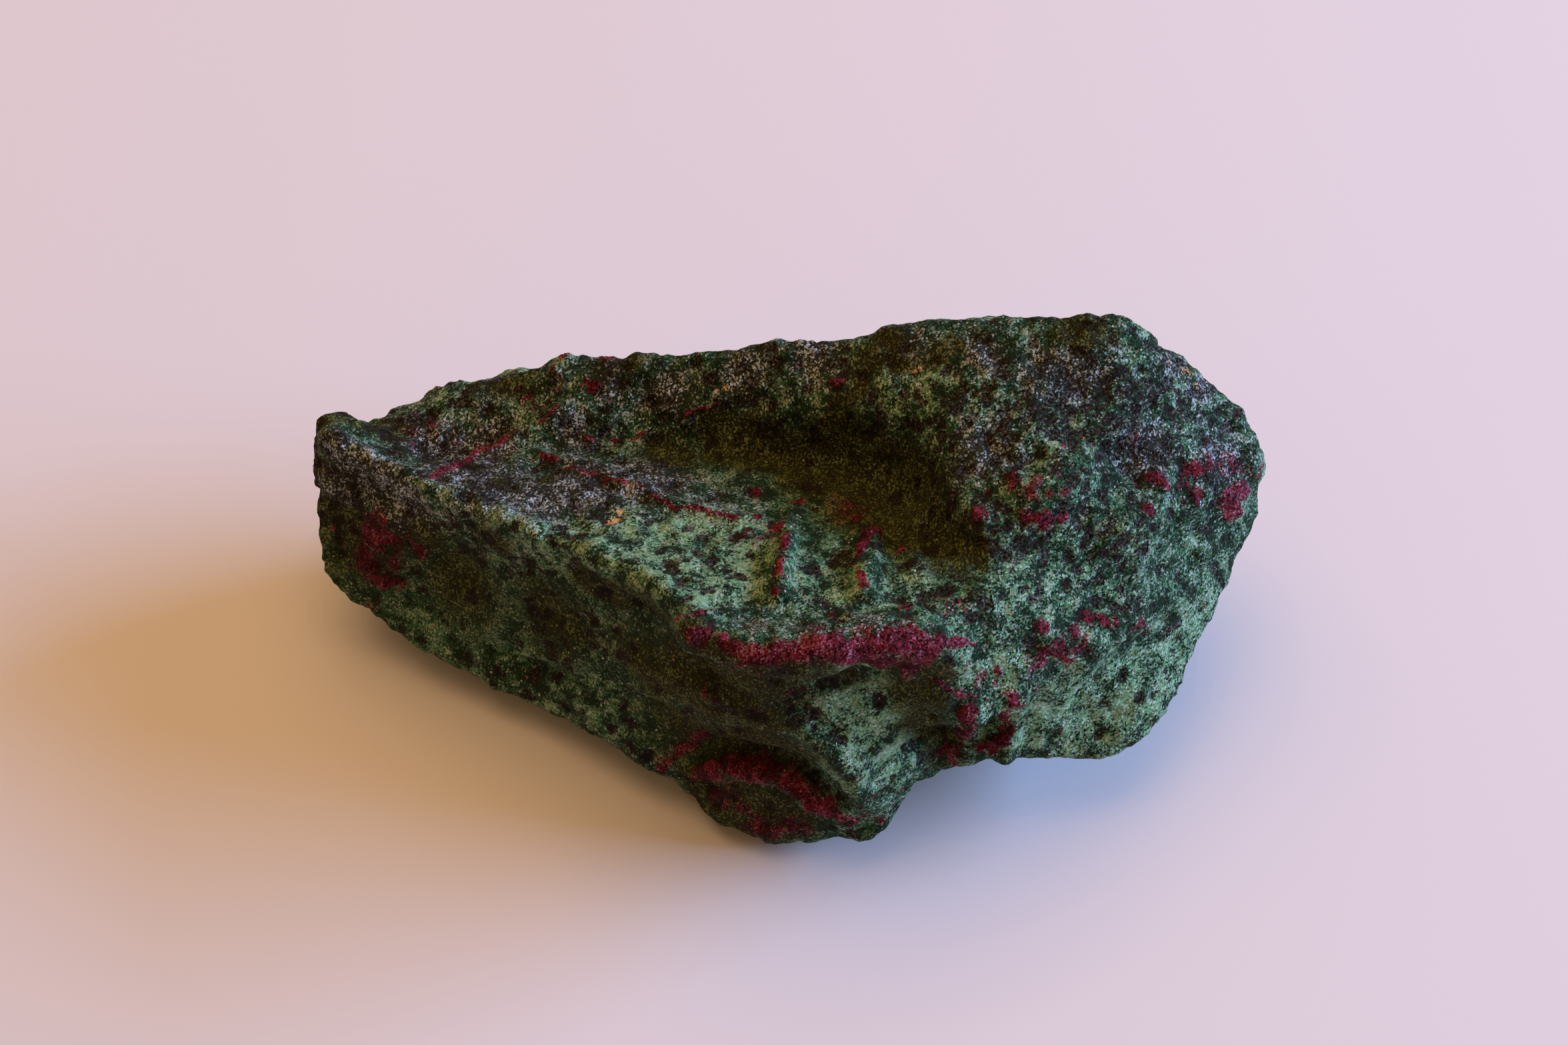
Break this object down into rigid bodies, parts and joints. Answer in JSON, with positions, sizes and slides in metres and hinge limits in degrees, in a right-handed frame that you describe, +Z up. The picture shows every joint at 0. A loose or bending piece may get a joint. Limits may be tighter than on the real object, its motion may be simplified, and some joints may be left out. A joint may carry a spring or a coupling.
{
  "type": "rough ruby in zoisite stone",
  "caption": "Rough hand specimen of ruby in zoisite: green sugary rock with dark specks and raised ruby seams, resting on a flat underside.",
  "frame": {"origin": "on the flat resting face, under the middle of the stone's bounding box", "axes": "+X along the stone toward its high, broad end; +Y from the front face with the knob toward the back; +Z up"},
  "size_m": [0.099, 0.0524, 0.041],
  "materials": {
    "stone": "rough broken rock: fine sugary green zoisite with black hornblende specks and dark red ruby seams"
  },
  "bodies": {
    "root": {"stone": "stone"}
  },
  "joints": []
}
